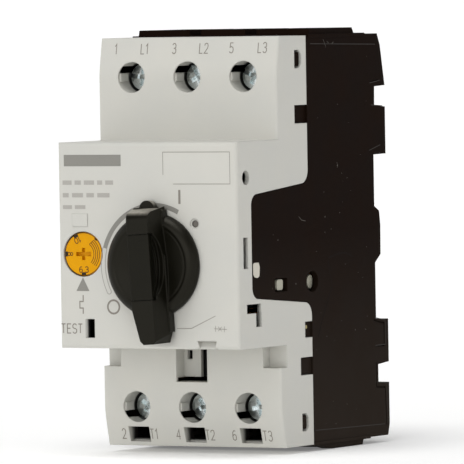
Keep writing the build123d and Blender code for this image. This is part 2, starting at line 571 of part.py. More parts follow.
with BuildPart() as load_bars:
    for px in POLES:
        slab(px - 2.8, px + 2.8, BAR_FRONT, BAR_REAR, -43.2, -30.0)
        slab(px - 2.4, px + 2.4, BAR_FRONT, -19.0, -31.4, -29.95)
load_bars.part.label = "load_bars"
export_step(load_bars.part, "parts/load_bars.step")

with BuildPart() as coil_feed_bars:
    for px in POLES:
        slab(px - 2.1, px + 2.1, -6.2, -5.0, -19.4, 11.4)
coil_feed_bars.part.label = "coil_feed_bars"
export_step(coil_feed_bars.part, "parts/coil_feed_bars.step")

with BuildPart() as fixed_contact_tips:
    for px in POLES:
        for z in (TIP_LOW_Z, TIP_UP_Z):
            slab(px - 1.7, px + 1.7, -6.98, -6.2, z - 1.4, z + 1.4)
fixed_contact_tips.part.label = "fixed_contact_tips"
export_step(fixed_contact_tips.part, "parts/fixed_contact_tips.step")

with BuildPart() as arc_splitter_plates:
    for px in POLES:
        for k in range(6):
            y = -17.6 + 1.6 * k
            slab(px - 5.2, px + 5.2, y, y + 0.6, 25.3, 28.7)
            slab(px - 5.2, px + 5.2, y, y + 0.6, 3.3, 6.8)
arc_splitter_plates.part.label = "arc_splitter_plates"
export_step(arc_splitter_plates.part, "parts/arc_splitter_plates.step")

# ---------------------------------------------------------------------------
# magnetic releases: bobbin, winding, yoke, core, plunger and spring for each pole
# ---------------------------------------------------------------------------
COIL_Y = -12.6

with BuildPart() as magnet_yokes:
    for px in POLES:
        slab(px - 5.0, px + 5.0, -7.6, -6.35, -19.9, -3.1)
        slab(px - 5.0, px + 5.0, -17.4, -6.35, -19.9, -18.6)
        slab(px - 5.0, px + 5.0, -17.4, -6.35, -4.4, -3.1)
        rod_z(px, COIL_Y, -21, -17, 2.1, Mode.SUBTRACT)
        rod_z(px, COIL_Y, -5, -2, 2.02, Mode.SUBTRACT)
magnet_yokes.part.label = "magnet_yokes"
export_step(magnet_yokes.part, "parts/magnet_yokes.step")

with BuildPart() as coil_bobbins:
    for px in POLES:
        rod_z(px, COIL_Y, -18.6, -4.4, 2.7)
        rod_z(px, COIL_Y, -18.6, -17.6, 4.9)
        rod_z(px, COIL_Y, -5.4, -4.4, 4.9)
        rod_z(px, COIL_Y, -19, -4, 2.1, Mode.SUBTRACT)
coil_bobbins.part.label = "coil_bobbins"
export_step(coil_bobbins.part, "parts/coil_bobbins.step")

WIRE_D = 1.3
with BuildPart() as trip_coils:
    for px in POLES:
        turns = []
        for k in range(9):
            z = -17.5 + WIRE_D * k
            turns += [(px + 3.7, z), (px + 4.2, z + 0.35), (px + 4.2, z + 0.95)]
        with BuildSketch(Plane(origin=(0, COIL_Y, 0), x_dir=(1, 0, 0), z_dir=(0, -1, 0))) as winding:
            with BuildLine():
                Polyline((px + 2.75, -17.5), *turns, (px + 3.7, -17.5 + 9 * WIRE_D), (px + 2.75, -17.5 + 9 * WIRE_D),
                         close=True)
            make_face()
        revolve(axis=Axis((px, COIL_Y, 0), (0, 0, 1)), revolution_arc=360)
trip_coils.part.label = "trip_coils"
export_step(trip_coils.part, "parts/trip_coils.step")

with BuildPart() as magnet_cores:
    for px in POLES:
        rod_z(px, COIL_Y, -5.6, -3.0, 2.0)
        rod_z(px, COIL_Y, -6, -2, 0.8, Mode.SUBTRACT)
magnet_cores.part.label = "magnet_cores"
export_step(magnet_cores.part, "parts/magnet_cores.step")

for px, tag in zip(POLES, LINE_TAGS):
    with BuildPart() as plunger:
        rod_z(px, COIL_Y, -20.2, -10.3, 1.95)
        rod_z(px, COIL_Y, -10.4, -2.6, 0.72)
    plunger.part.label = f"plunger_{tag}"
    export_step(plunger.part, f"parts/plunger_{tag}.step")

for px, tag in zip(POLES, LINE_TAGS):
    with BuildPart() as plunger_spring:
        for k in range(5):
            with BuildSketch(Plane(origin=(px, COIL_Y, -10.25 + 1.0 * k), x_dir=(1, 0, 0), z_dir=(0, 0, 1))):
                Circle(1.7)
                Circle(1.2, mode=Mode.SUBTRACT)
            extrude(amount=0.5)
        slab(px + 1.25, px + 1.65, COIL_Y - 0.2, COIL_Y + 0.2, -10.1, -5.9)
    plunger_spring.part.label = f"plunger_spring_{tag}"
    export_step(plunger_spring.part, f"parts/plunger_spring_{tag}.step")

# ---------------------------------------------------------------------------
# thermal releases: bimetal strips with heaters, common trip slide
# ---------------------------------------------------------------------------
with BuildPart() as bimetal_strips:
    for px in POLES:
        slab(px - 1.0, px - 0.1, -24.5, -20.5, -29.95, -10.2)
bimetal_strips.part.label = "bimetal_strips"
export_step(bimetal_strips.part, "parts/bimetal_strips.step")

with BuildPart() as heater_windings:
    for px in POLES:
        for k in range(6):
            z = -27.4 + 1.8 * k
            slab(px - 2.0, px + 0.9, -25.5, -19.5, z, z + 1.1)
            slab(px - 1.35, px + 0.25, -24.85, -20.15, z - 0.1, z + 1.2, Mode.SUBTRACT)
        slab(px - 2.0, px - 1.5, -23.0, -22.0, -27.4, -17.4)
heater_windings.part.label = "heater_windings"
export_step(heater_windings.part, "parts/heater_windings.step")

with BuildPart() as trip_slide:
    slab(-19.3, 17.5, -26.6, -18.8, -12.7, -11.1)
    for px in POLES:
        slab(px - 3.1, px + 0.05, -24.8, -20.2, -13.5, -10.5, Mode.SUBTRACT)
trip_slide.part.label = "trip_slide"
export_step(trip_slide.part, "parts/trip_slide.step")

with BuildPart() as trip_shaft:
    rod_x(-21.0, 0.4, -19.6, 19.6, 1.4)
    for px in POLES:
        slab(px - 1.6, px + 1.6, -21.0, -11.2, -0.2, 0.9)
trip_shaft.part.label = "trip_shaft"
export_step(trip_shaft.part, "parts/trip_shaft.step")

# ---------------------------------------------------------------------------
# terminal screws and lift cages
# ---------------------------------------------------------------------------
# resting angle of each driver slot
SLOT_TURN = dict(zip(LINE_TAGS + LOAD_TAGS, (8, 62, 24, -58, -30, 78)))

for px, tag, sz in [(p, t, SCREW_Z) for p, t in zip(POLES, LINE_TAGS)] + \
                   [(p, t, -SCREW_Z) for p, t in zip(POLES, LOAD_TAGS)]:
    with BuildPart() as terminal_screw:
        rod_y(px, sz, HEAD_FRONT, HEAD_REAR, HEAD_R)
        chamfer(terminal_screw.edges().filter_by(lambda e: abs(e.center().Y - HEAD_FRONT) < 0.01), 0.3)
        rod_y(px, sz, HEAD_REAR - 0.1, SHANK_TIP, SHANK_R)
        with Locations(Location((px, HEAD_FRONT, sz), (0, SLOT_TURN[tag], 0))):
            Box(7.0, 2.0, 1.0, mode=Mode.SUBTRACT)
            Box(1.0, 3.0, 3.8, mode=Mode.SUBTRACT)
            Box(3.8, 3.0, 1.0, mode=Mode.SUBTRACT)
    terminal_screw.part.label = f"terminal_screw_{tag}"
    export_step(terminal_screw.part, f"parts/terminal_screw_{tag}.step")

    with BuildPart() as lift_cage:
        slab(px - CAGE_HALF_X, px + CAGE_HALF_X, -30.6, -15.5, sz - CAGE_HALF_Z, sz + CAGE_HALF_Z)
        slab(px - 3.0, px + 3.0, -28.9, -17.0, sz - 5, sz + 5, Mode.SUBTRACT)
        rod_y(px, sz, -32, -28, SHANK_R + 0.05, Mode.SUBTRACT)
    lift_cage.part.label = f"lift_cage_{tag}"
    export_step(lift_cage.part, f"parts/lift_cage_{tag}.step")

# ---------------------------------------------------------------------------
# rail latch and its spring
# ---------------------------------------------------------------------------
with BuildPart() as rail_latch:
    slab(-8.0, 8.0, 1.2, 4.2, -45.9, -18.4)
    slab(-6.3, 6.3, 4.1, 5.4, -45.9, -20.5)
    slab(-2.6, 2.6, 0, 7, -41.8, -28.0, Mode.SUBTRACT)
    with BuildSketch(Plane.YZ.offset(-8.0)) as latch_nose:
        with BuildLine():
            Polyline((1.25, -18.6), (1.25, -16.4), (2.4, -16.4), (4.2, -18.6), close=True)
        make_face()
    extrude(amount=16.0)
    # eyelet for a screwdriver at the lower end
    slab(-2.4, 2.4, 0, 7, -45.2, -43.6, Mode.SUBTRACT)
rail_latch.part.label = "rail_latch"
export_step(rail_latch.part, "parts/rail_latch.step")

with BuildPart() as rail_latch_spring:
    for k in range(9):
        with BuildSketch(Plane(origin=(0, 2.75, -38.35 + 1.2 * k), x_dir=(1, 0, 0), z_dir=(0, 0, 1))):
            Circle(1.3)
            Circle(0.8, mode=Mode.SUBTRACT)
        extrude(amount=0.55)
    slab(0.85, 1.25, 2.55, 2.95, -38.2, -28.6)
rail_latch_spring.part.label = "rail_latch_spring"
export_step(rail_latch_spring.part, "parts/rail_latch_spring.step")
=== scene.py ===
import math
import random

import bmesh
import bpy
from mathutils import Matrix, Vector


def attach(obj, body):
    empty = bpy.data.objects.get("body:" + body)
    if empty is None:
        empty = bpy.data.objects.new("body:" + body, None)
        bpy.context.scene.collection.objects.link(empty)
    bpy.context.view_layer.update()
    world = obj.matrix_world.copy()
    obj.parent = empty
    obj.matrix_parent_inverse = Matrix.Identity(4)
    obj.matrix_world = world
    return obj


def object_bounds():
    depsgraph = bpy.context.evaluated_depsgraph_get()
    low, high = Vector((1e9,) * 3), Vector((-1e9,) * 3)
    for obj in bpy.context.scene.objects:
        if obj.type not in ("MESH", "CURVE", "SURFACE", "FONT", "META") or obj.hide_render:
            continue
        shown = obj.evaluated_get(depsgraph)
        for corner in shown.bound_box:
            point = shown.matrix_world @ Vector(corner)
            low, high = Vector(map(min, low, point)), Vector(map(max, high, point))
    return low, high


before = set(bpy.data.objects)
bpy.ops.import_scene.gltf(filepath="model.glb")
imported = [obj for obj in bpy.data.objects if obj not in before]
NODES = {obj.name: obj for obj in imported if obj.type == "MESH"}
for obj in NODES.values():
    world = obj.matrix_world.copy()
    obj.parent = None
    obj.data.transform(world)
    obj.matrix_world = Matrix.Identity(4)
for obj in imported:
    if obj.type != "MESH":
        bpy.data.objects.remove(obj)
CAD_LO, CAD_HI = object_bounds()
MM = 0.001
scene = bpy.context.scene

# ---------------------------------------------------------------------------
# material helpers: everything is procedural and in object space (metres)
# ---------------------------------------------------------------------------


def principled(name):
    m = bpy.data.materials.new(name)
    m.use_nodes = True
    nt = m.node_tree
    nt.nodes.clear()
    out = nt.nodes.new("ShaderNodeOutputMaterial")
    bsdf = nt.nodes.new("ShaderNodeBsdfPrincipled")
    nt.links.new(bsdf.outputs[0], out.inputs[0])
    return m, nt, bsdf


def coords(nt, scale=(1, 1, 1)):
    tc = nt.nodes.new("ShaderNodeTexCoord")
    mp = nt.nodes.new("ShaderNodeMapping")
    mp.inputs["Scale"].default_value = scale
    nt.links.new(tc.outputs["Object"], mp.inputs[0])
    return mp.outputs[0]


def noise(nt, vec, scale, detail=4.0, rough=0.55):
    n = nt.nodes.new("ShaderNodeTexNoise")
    n.inputs["Scale"].default_value = scale
    n.inputs["Detail"].default_value = detail
    n.inputs["Roughness"].default_value = rough
    nt.links.new(vec, n.inputs["Vector"])
    return n.outputs["Fac"]


def ramp(nt, fac, stops):
    r = nt.nodes.new("ShaderNodeValToRGB")
    el = r.color_ramp.elements
    while len(el) < len(stops):
        el.new(0.5)
    for e, (p, c) in zip(el, stops):
        e.position = p
        e.color = (*c, 1.0) if len(c) == 3 else c
    nt.links.new(fac, r.inputs[0])
    return r.outputs["Color"]


def remap(nt, fac, lo, hi, a=0.3, b=0.7):
    r = nt.nodes.new("ShaderNodeMapRange")
    r.inputs["From Min"].default_value = a
    r.inputs["From Max"].default_value = b
    r.inputs["To Min"].default_value = lo
    r.inputs["To Max"].default_value = hi
    nt.links.new(fac, r.inputs["Value"])
    return r.outputs["Result"]


def bump(nt, height, strength, dist, normal=None):
    b = nt.nodes.new("ShaderNodeBump")
    b.inputs["Strength"].default_value = strength
    b.inputs["Distance"].default_value = dist
    nt.links.new(height, b.inputs["Height"])
    if normal is not None:
        nt.links.new(normal, b.inputs["Normal"])
    return b.outputs[0]


def mix_col(nt, fac, a, b, mode="MIX"):
    m = nt.nodes.new("ShaderNodeMix")
    m.data_type = "RGBA"
    m.blend_type = mode
    if isinstance(fac, float):
        m.inputs[0].default_value = fac
    else:
        nt.links.new(fac, m.inputs[0])
    for i, v in ((6, a), (7, b)):
        if isinstance(v, tuple):
            m.inputs[i].default_value = (*v, 1.0)
        else:
            nt.links.new(v, m.inputs[i])
    return m.outputs[2]


def scaled(c, k):
    return tuple(min(1.0, x * k) for x in c)


def plastic(name, col, rough=0.5, spec=0.4, mottle=0.05, grain=5200.0, depth=0.000012, warm=None,
            rough_var=0.08, flow=0.0, edge=0.0, inside_shade=None, painted_highlight=None, tint=None, lower=None):
    """Moulded plastic: fine spark-eroded grain, faint mottling and worn, slightly shinier patches; optional painted
    shade on inside walls, a painted highlight on upward faces near the top and a lighter tone towards the bottom.
    """
    m, nt, b = principled(name)
    v = coords(nt)
    big = noise(nt, v, 90.0, 3.0, 0.5)
    mid = noise(nt, v, 900.0, 3.0, 0.6)
    c1 = ramp(nt, big, [(0.30, scaled(col, 1 - mottle)), (0.70, scaled(warm or col, 1 + mottle * 0.6))])
    c2 = mix_col(nt, remap(nt, mid, 0.0, mottle * 1.6, 0.35, 0.75), c1, scaled(col, 0.78))
    if inside_shade or painted_highlight or lower:
        tc = nt.nodes.new("ShaderNodeTexCoord")
        xyz = nt.nodes.new("ShaderNodeSeparateXYZ")
        nt.links.new(tc.outputs["Object"], xyz.inputs[0])

        def calc(op, a, b2):
            mn = nt.nodes.new("ShaderNodeMath")
            mn.operation = op
            for k, val in enumerate((a, b2)):
                if isinstance(val, float):
                    mn.inputs[k].default_value = val
                elif val is not None:
                    nt.links.new(val, mn.inputs[k])
            return mn.outputs[0]

    if inside_shade:
        # painted shade: walls inside the housing are painted nearly black where shade falls; each zone is
        # (y where it starts, y where it is full, |x| limit, |z| lower and upper limit), in metres
        shade_col, zones = inside_shade
        ax, az = calc("ABSOLUTE", xyz.outputs["X"], None), calc("ABSOLUTE", xyz.outputs["Z"], None)
        total = None
        for y0, y1, xm, z0, z1 in zones:
            part = remap(nt, xyz.outputs["Y"], 0.0, 1.0, y0, y1)
            part = calc("MULTIPLY", part, calc("LESS_THAN", ax, xm))
            part = calc("MULTIPLY", part, calc("LESS_THAN", az, z1))
            part = calc("MULTIPLY", part, calc("GREATER_THAN", az, z0))
            total = part if total is None else calc("MAXIMUM", total, part)
        c2 = mix_col(nt, total, c2, shade_col)
    if lower:
        # lighter and greyer towards the bottom: (colour, z where it is full, z where it starts)
        col_l, z0, z1 = lower
        c2 = mix_col(nt, remap(nt, xyz.outputs["Z"], 1.0, 0.0, z0, z1), c2, col_l)
    if painted_highlight:
        # painted highlight: upward facing edges near the top of the part are painted lighter where the top light glints
        # on them: (colour, z start, z full)
        highlight_col, z0, z1 = painted_highlight
        nz = nt.nodes.new("ShaderNodeSeparateXYZ")
        nt.links.new(tc.outputs["Normal"], nz.inputs[0])
        up = remap(nt, nz.outputs["Z"], 0.0, 1.0, 0.30, 0.98)
        hi_ = remap(nt, xyz.outputs["Z"], 0.0, 1.0, z0, z1)
        side_ = remap(nt, xyz.outputs["X"], 1.0, 0.25, 0.0022, 0.0052)
        highlight_noise = remap(nt, mid, 0.55, 1.0, 0.25, 0.6)
        m_ = calc("MULTIPLY", calc("MULTIPLY", up, hi_), calc("MULTIPLY", side_, highlight_noise))
        c2 = mix_col(nt, m_, c2, highlight_col)
    nt.links.new(c2, b.inputs["Base Color"])
    nt.links.new(remap(nt, big, rough - rough_var, rough + rough_var), b.inputs["Roughness"])
    b.inputs["Specular IOR Level"].default_value = spec
    if tint:
        b.inputs["Specular Tint"].default_value = (*tint, 1.0)
    g1 = noise(nt, v, grain, 2.0, 0.6)
    soft = None
    if edge:
        # slightly rounded moulded edges
        be = nt.nodes.new("ShaderNodeBevel")
        be.samples = 4
        be.inputs["Radius"].default_value = edge
        soft = be.outputs[0]
    n1 = bump(nt, g1, 0.55, depth, soft)
    g2 = noise(nt, coords(nt, (1, 1, 0.35)), 260.0, 2.0, 0.5)
    n2 = bump(nt, g2, 0.35, flow if flow else 0.00001, n1)
    nt.links.new(n2, b.inputs["Normal"])
    return m


def metal(name, col, rough=0.25, rough_var=0.1, brushed=None, tint=None, spots=0.0, depth=0.00001):
    """Plated or rolled metal: tint drift, rolling marks or plating grain, small dull spots."""
    m, nt, b = principled(name)
    b.inputs["Metallic"].default_value = 1.0
    v = coords(nt)
    big = noise(nt, v, 380.0, 4.0, 0.6)
    c = ramp(nt, big, [(0.3, scaled(col, 0.86)), (0.7, tint or scaled(col, 1.06))])
    if spots:
        sp = noise(nt, v, 2600.0, 2.0, 0.5)
        c = mix_col(nt, remap(nt, sp, 0.0, spots, 0.55, 0.75), c, scaled(col, 0.45))
    nt.links.new(c, b.inputs["Base Color"])
    if brushed:
        fine = noise(nt, coords(nt, brushed), 900.0, 3.0, 0.6)
    else:
        fine = noise(nt, v, 4200.0, 3.0, 0.6)
    nt.links.new(remap(nt, fine, rough - rough_var, rough + rough_var), b.inputs["Roughness"])
    nt.links.new(bump(nt, fine, 0.5, depth), b.inputs["Normal"])
    return m


def ink(name, col, opacity=1.0):
    """Pad-printed ink with slightly uneven cover."""
    m, nt, b = principled(name)
    v = coords(nt)
    n = noise(nt, v, 5200.0, 4.0, 0.7)
    c = ramp(nt, n, [(0.25, scaled(col, 0.9)), (0.8, scaled(col, 1.18))])
    nt.links.new(c, b.inputs["Base Color"])
    nt.links.new(remap(nt, n, 0.45, 0.65), b.inputs["Roughness"])
    b.inputs["Specular IOR Level"].default_value = 0.3
    nt.links.new(bump(nt, n, 0.3, 0.000006), b.inputs["Normal"])
    return m


COVER = (0.566, 0.561, 0.521)
BASE = (0.0085, 0.0042, 0.0026)
KNOB = (0.0040, 0.0036, 0.0020)
AMBER = (0.71, 0.318, 0.0)
PRINT = (0.225, 0.205, 0.178)

M = {
    # the cover's walls inside the housing get painted shade
    "cover": plastic("cover_grey_plastic", COVER, rough=0.46, spec=0.35, mottle=0.022, warm=(0.570, 0.560, 0.514), flow=0.00001, edge=0.0003, inside_shade=((0.012, 0.011, 0.010), ((-0.0396, -0.0391, 0.0212, -1.0, 0.0438), (-0.0422, -0.0402, 0.0212, 0.0402, 0.0438), (-0.06195, -0.0616, 0.0209, -1.0, 0.0204)))),
    "base": plastic("base_black_plastic", BASE, rough=0.50, spec=0.010, mottle=0.18, warm=(0.0105, 0.0055, 0.0035), depth=0.000014, flow=0.00002, edge=0.0003,
                    lower=((0.025, 0.0185, 0.014), -0.045, 0.002)),
    # the handle's upward faces near its top get a painted highlight
    "knob": plastic("handle_black_plastic", KNOB, rough=0.34, spec=0.19, mottle=0.14, grain=4200.0, depth=0.00002, edge=0.0004, tint=(1.0, 0.95, 0.80), painted_highlight=((0.33, 0.31, 0.262), 0.0066, 0.0074)),
    "insert": plastic("insert_black_plastic", (0.0036, 0.0034, 0.0020), rough=0.34, spec=0.17, mottle=0.14, grain=3600.0, depth=0.000016, edge=0.0004, tint=(1.0, 0.95, 0.80)),
    "dial": plastic("dial_amber_plastic", AMBER, rough=0.36, spec=0.10, mottle=0.05, warm=(0.72, 0.335, 0.0), grain=3000.0, depth=0.000006, edge=0.0002),
    "lever": plastic("lever_natural_plastic", (0.47, 0.455, 0.37), rough=0.45, spec=0.35, mottle=0.04),
    "carrier": plastic("carrier_glass_filled", (0.34, 0.32, 0.26), rough=0.55, spec=0.3, mottle=0.10, grain=2600.0, depth=0.00003),
    "bobbin": plastic("bobbin_plastic", (0.035, 0.035, 0.038), rough=0.5, spec=0.3, mottle=0.12),
    "zinc": metal("zinc_plated_steel", (0.72, 0.79, 0.80), rough=0.17, rough_var=0.09, tint=(0.86, 0.90, 0.90), spots=0.6, depth=0.00004),
    "sheet": metal("zinc_plated_sheet", (0.56, 0.57, 0.57), rough=0.34, rough_var=0.1, brushed=(1, 1, 14), spots=0.2),
    "spring": metal("spring_wire", (0.38, 0.38, 0.39), rough=0.3, rough_var=0.08),
    "copper": metal("tinned_copper", (0.66, 0.40, 0.27), rough=0.32, rough_var=0.1, brushed=(1, 1, 10), tint=(0.70, 0.50, 0.40)),
    "silver": metal("silver_contact", (0.82, 0.81, 0.78), rough=0.28, rough_var=0.1),
    "iron": metal("soft_iron", (0.30, 0.30, 0.31), rough=0.42, rough_var=0.1, brushed=(1, 12, 1), spots=0.35),
    "winding": metal("enamelled_wire", (0.48, 0.16, 0.045), rough=0.25, rough_var=0.08, brushed=(1, 1, 20), tint=(0.56, 0.22, 0.07)),
    "bimetal": metal("bimetal_strip", (0.46, 0.42, 0.36), rough=0.36, rough_var=0.1, brushed=(1, 1, 8)),
    "print": ink("grey_print", PRINT),
    "tab": plastic("tab_natural_plastic", (0.62, 0.585, 0.50), rough=0.45, spec=0.3, mottle=0.05),
    "rim": plastic("rim_sheen_black", (0.040, 0.034, 0.030), rough=0.4, spec=0.05, mottle=0.3),
    "dust": plastic("dust_and_shade_grey", (0.20, 0.185, 0.165), rough=0.7, spec=0.05, mottle=0.3),
    "relief": plastic("relief_sheen_black", (0.0135, 0.0095, 0.0078), rough=0.5, spec=0.01, mottle=0.3),
    "brass": metal("dull_brass", (0.35, 0.30, 0.14), rough=0.4),
    "print_thin": ink("grey_print_fine", (0.30, 0.285, 0.255)),
    "print_soft": ink("grey_print_soft", (0.38, 0.365, 0.335)),
    "print_dark": ink("dark_print", (0.10, 0.09, 0.075)),
    "band": ink("grey_band", (0.235, 0.228, 0.205)),
    "dial_mark": ink("dial_marks", (0.13, 0.042, 0.001)),
    "dial_black": ink("dial_pointers", (0.02, 0.012, 0.002)),
    "inside": plastic("inner_grey_plastic", (0.33, 0.325, 0.29), rough=0.55, spec=0.25, mottle=0.08),
}

LOOK = {
    "front_cover": "cover", "base_housing": "base", "handle_knob": "knob", "handle_lock_insert": "insert",
    "handle_shaft": "carrier", "setting_dial": "dial", "dial_spindle": "dial", "test_lever": "knob",
    "signal_slide": "lever", "latch_lever": "zinc", "kick_lever": "zinc", "contact_carrier": "lever",
    "contact_bridges": "copper", "bridge_tips": "silver", "bridge_springs": "spring", "trip_slide": "carrier",
    "trip_shaft": "carrier", "rail_latch": "base", "rail_latch_spring": "spring", "line_bars": "copper",
    "load_bars": "copper", "coil_feed_bars": "copper", "fixed_contact_tips": "silver",
    "arc_splitter_plates": "iron", "magnet_yokes": "iron", "coil_bobbins": "bobbin", "trip_coils": "winding",
    "magnet_cores": "iron", "bimetal_strips": "bimetal", "heater_windings": "bimetal", "mechanism_frame": "sheet",
    "mechanism_pins": "sheet",
}
for n, o in NODES.items():
    key = LOOK.get(n)
    if key is None:
        key = "zinc" if n.startswith(("terminal_screw", "lift_cage")) else "iron" if n.startswith("plunger_l") else "spring"
    o.data.materials.clear()
    o.data.materials.append(M[key])

# ---------------------------------------------------------------------------
# printed marks: thin flat sheets that lie just in front of the surface they are printed on
# ---------------------------------------------------------------------------
LIFT = 0.018


def front_face(u, v):
    return (u * MM, (-62.3 - LIFT) * MM, v * MM)


def upper_face(u, v):
    return (u * MM, (-44.0 + (v - 37.5) * 1.4 / 7.5 - LIFT) * MM, v * MM)


def lower_face(u, v):
    return (u * MM, (-44.0 + (-v - 37.5) * 1.8 / 7.5 - LIFT) * MM, v * MM)


def dial_face(u, v):
    return ((-16.4 + u) * MM, (-62.05 - LIFT) * MM, (-1.9 + v) * MM)


def sheet(name, polys, place, mat, body="housing"):
    """One mesh of flat polygons given in the plane of the printed face (mm)."""
    verts, faces = [], []
    for p in polys:
        area = sum(a[0] * b[1] - b[0] * a[1] for a, b in zip(p, p[1:] + p[:1]))
        q = p if area > 0 else p[::-1]
        faces.append(list(range(len(verts), len(verts) + len(q))))
        verts += [place(*c) for c in q]
    me = bpy.data.meshes.new(name)
    me.from_pydata(verts, [], faces)
    me.update()
    me.materials.append(M[mat])
    ob = bpy.data.objects.new(name, me)
    scene.collection.objects.link(ob)
    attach(ob, body)
    return ob


def line(pts, w, closed=False):
    """Quads along a polyline, mitred at the corners."""
    n = len(pts)
    left, right_ = [], []
    for i in range(n):
        p = Vector(pts[i])
        a = Vector(pts[i - 1]) if i > 0 or closed else None
        b = Vector(pts[(i + 1) % n]) if i < n - 1 or closed else None
        d1 = (p - a).normalized() if a is not None else None
        d2 = (b - p).normalized() if b is not None else None
        d = ((d1 or d2) + (d2 or d1)).normalized()
        nrm = Vector((-d.y, d.x))
        c = nrm.dot(Vector((-(d1 or d2).y, (d1 or d2).x)))
        k = w / 2 / max(c, 0.35)
        left.append(tuple(p + nrm * k))
        right_.append(tuple(p - nrm * k))
    out = []
    for i in range(n if closed else n - 1):
        j = (i + 1) % n
        out.append([right_[i], right_[j], left[j], left[i]])
    return out


def arc(cx, cz, r, a0, a1, steps=40):
    """Points on a circle, angles in degrees clockwise from the top."""
    return [(cx + r * math.sin(math.radians(a0 + (a1 - a0) * i / steps)),
             cz + r * math.cos(math.radians(a0 + (a1 - a0) * i / steps))) for i in range(steps + 1)]


def box2(x0, z0, x1, z1):
    return [(x0, z0), (x1, z0), (x1, z1), (x0, z1)]


# stroke digits and letters on a 1 x 1 cell
STROKES = {
    "0": [[(0.5, 0), (0.12, 0.12), (0.02, 0.4), (0.02, 0.6), (0.12, 0.88), (0.5, 1), (0.88, 0.88), (0.98, 0.6),
           (0.98, 0.4), (0.88, 0.12), (0.5, 0)]],
    "1": [[(0.22, 0.76), (0.62, 1), (0.62, 0)]],
    "2": [[(0.05, 0.76), (0.15, 0.93), (0.5, 1), (0.85, 0.93), (0.95, 0.72), (0.82, 0.5), (0.02, 0), (1, 0)]],
    "3": [[(0.04, 0.84), (0.28, 1), (0.68, 1), (0.92, 0.84), (0.9, 0.62), (0.6, 0.53), (0.36, 0.53)],
          [(0.6, 0.53), (0.94, 0.42), (0.97, 0.18), (0.7, 0), (0.3, 0), (0.03, 0.15)]],
    "4": [[(0.78, 0), (0.78, 1), (0.02, 0.3), (1, 0.3)]],
    "5": [[(0.9, 1), (0.16, 1), (0.1, 0.56), (0.5, 0.64), (0.88, 0.52), (0.97, 0.3), (0.85, 0.08), (0.5, 0),
           (0.16, 0.05), (0.03, 0.16)]],
    "6": [[(0.85, 0.92), (0.5, 1), (0.15, 0.82), (0.03, 0.4), (0.12, 0.1), (0.5, 0), (0.88, 0.1), (0.97, 0.32),
           (0.86, 0.54), (0.5, 0.6), (0.14, 0.5), (0.04, 0.36)]],
    "8": [[(0.5, 0.54), (0.14, 0.64), (0.08, 0.84), (0.3, 1), (0.7, 1), (0.92, 0.84), (0.86, 0.64), (0.5, 0.54),
           (0.06, 0.4), (0.03, 0.16), (0.28, 0), (0.72, 0), (0.97, 0.16), (0.94, 0.4), (0.5, 0.54)]],
    ".": [[(0.42, 0), (0.42, 0.12)]],
    "L": [[(0.08, 1), (0.08, 0), (0.92, 0)]],
    "T": [[(0, 1), (1, 1)], [(0.5, 1), (0.5, 0)]],
    "E": [[(0.95, 1), (0.08, 1), (0.08, 0), (0.95, 0)], [(0.08, 0.52), (0.82, 0.52)]],
    "S": [[(0.95, 0.86), (0.7, 1), (0.3, 1), (0.06, 0.86), (0.06, 0.64), (0.3, 0.53), (0.7, 0.48), (0.95, 0.36),
           (0.95, 0.14), (0.7, 0), (0.3, 0), (0.04, 0.14)]],
}


def stroke_text(text, cx, z0, h, w, gap, lw, turn=0.0, pivot=None):
    """Characters of height h and width w, centred on cx with the base line at z0, turned about pivot."""
    widths = [w * (0.35 if c == "." else 0.62 if c == "1" else 1.0) for c in text]
    total = sum(widths) + gap * (len(text) - 1)
    x = cx - total / 2
    t = math.radians(turn)
    px_, pz_ = pivot or (cx, z0 + h / 2)
    out = []
    for c, cw in zip(text, widths):
        off = -0.2 * w if c == "1" else 0.0
        for s_ in STROKES[c]:
            pts = []
            for a, b in s_:
                u, v = x + off + a * (w if c != "." else cw), z0 + b * h
                du, dv = u - px_, v - pz_
                pts.append((px_ + du * math.cos(t) + dv * math.sin(t), pz_ - du * math.sin(t) + dv * math.cos(t)))
            out += line(pts, lw)
        x += cw + gap
    return out


KX, KZ = 1.65, -4.2
# travel band around the handle: filled part, then an outlined part with a round end
band = line(arc(KX, KZ - 0.02, 12.98, 27.7, -73.8, 90), 1.05)
sheet("travel_band", band, front_face, "band")
outline = arc(KX, KZ, 13.50, -73.8, -117.0, 40) + \
    [(KX + 13.0 * math.sin(math.radians(-117.0)) + 0.5 * math.sin(math.radians(a)),
      KZ + 13.0 * math.cos(math.radians(-117.0)) + 0.5 * math.cos(math.radians(a)))
     for a in range(-127, -287, -20)] + arc(KX, KZ, 12.48, -117.0, -73.8, 40)
sheet("travel_outline", line(outline, 0.16), front_face, "print_thin")
# on and off marks
sheet("mark_on", [box2(7.80, 9.06, 8.36, 12.12)], front_face, "print")
sheet("mark_off", line([(x, z) for x, z in arc(-8.9, -13.4, 1.45, 0, 360, 48)][:-1], 0.42, True), front_face, "print")
# setting pointer and overload symbol
sheet("mark_pointer", [[(-18.26, -9.98), (-14.93, -9.98), (-16.53, -6.98)]], front_face, "band")
sheet("mark_overload", line([(-16.56, -10.85), (-16.58, -12.27), (-17.42, -12.27), (-17.43, -13.70),
                             (-16.60, -13.70), (-16.62, -14.95)], 0.27), front_face, "print")
sheet("mark_test", stroke_text("TEST", -19.55, -19.2, 2.0, 1.06, 0.36, 0.24), front_face, "print")
# circuit line, switch symbol and label frame
sheet("mark_circuit", line([(6.93, -17.98), (10.56, -17.95), (16.59, -15.19)], 0.17) +
      line([(16.2, -17.95), (19.4, -18.1)], 0.13) + line([(16.55, -17.3), (16.55, -18.6)], 0.13) +
      line([(18.75, -17.4), (18.75, -18.7)], 0.13) + line([(17.2, -17.5), (18.1, -18.5)], 0.12) +
      line([(18.1, -17.5), (17.2, -18.5)], 0.12), front_face, "print_thin")
sheet("label_frame", line([(4.07, 15.36), (4.07, 20.32), (20.73, 20.32), (20.73, 13.39), (6.54, 13.39)], 0.17), front_face, "print_thin")
